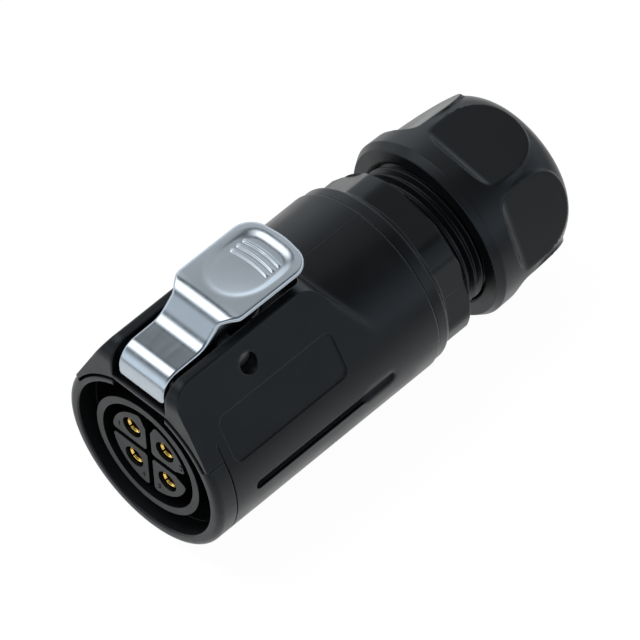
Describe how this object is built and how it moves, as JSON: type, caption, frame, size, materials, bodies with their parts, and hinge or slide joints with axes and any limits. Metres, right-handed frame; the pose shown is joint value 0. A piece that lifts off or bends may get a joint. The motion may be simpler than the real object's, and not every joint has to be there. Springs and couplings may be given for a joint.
{
  "type": "circular cable plug",
  "caption": "Round cable plug with a push latch over its mating end, socket contacts in a keyed insert, and a domed clamping nut on a threaded gland body.",
  "frame": {"origin": "centre of the mating face, on the plug's axis", "axes": "-Y out of the mating face towards the socket, +Y along the axis to the cable end, +Z through the latch, +X to the side with the keyway"},
  "size_m": [0.03, 0.0744, 0.0382],
  "materials": {
    "black_nylon": "fine matt moulding",
    "insert_plastic": "matt moulding",
    "chromed_zinc": "polished",
    "steel": "bright",
    "black_rubber": "matt",
    "gold_plated_brass": "gold plated"
  },
  "bodies": {
    "housing": {"outer_shell": "black_nylon", "front_collar": "black_nylon", "interface_seal": "black_rubber", "insert_front": "insert_plastic", "insert_o_ring": "black_rubber", "insert_rear": "insert_plastic", "insert_retaining_ring": "insert_plastic", "contact_1": "gold_plated_brass", "contact_2": "gold_plated_brass", "contact_3": "gold_plated_brass", "contact_4": "gold_plated_brass", "terminal_screw_1": "steel", "terminal_screw_2": "steel", "terminal_screw_3": "steel", "terminal_screw_4": "steel", "latch_pivot_pin": "steel", "latch_spring": "steel", "gland_body": "black_nylon", "gland_o_ring": "black_rubber"},
    "latch": {"latch_lever": "chromed_zinc"},
    "claw": {"clamping_claw": "black_nylon", "cable_seal": "black_rubber"},
    "nut": {"gland_nut": "black_nylon"}
  },
  "joints": [
    {"name": "latch_press", "type": "hinge", "parent": "housing", "child": "latch", "pos_m": [0, 0.0133, 0.01615], "axis": [-1, 0, 0], "range_deg": [0, 8], "stiffness_Nm_per_rad": 0.3, "springref_deg": -5.73, "deforming": ["latch_spring"]},
    {"name": "claw_slide", "type": "slide", "parent": "housing", "child": "claw", "axis": [0, 1, 0], "range_m": [-0.0039, 0.0015]},
    {"name": "nut_turn", "type": "hinge", "parent": "claw", "child": "nut", "pos_m": [0, 0.065, 0], "axis": [0, 1, 0], "range_deg": [-936, 360]}
  ],
  "couplings": [
    {"joint": "nut_turn", "follows": "claw_slide", "rad_per_m": 4188.8}
  ]
}
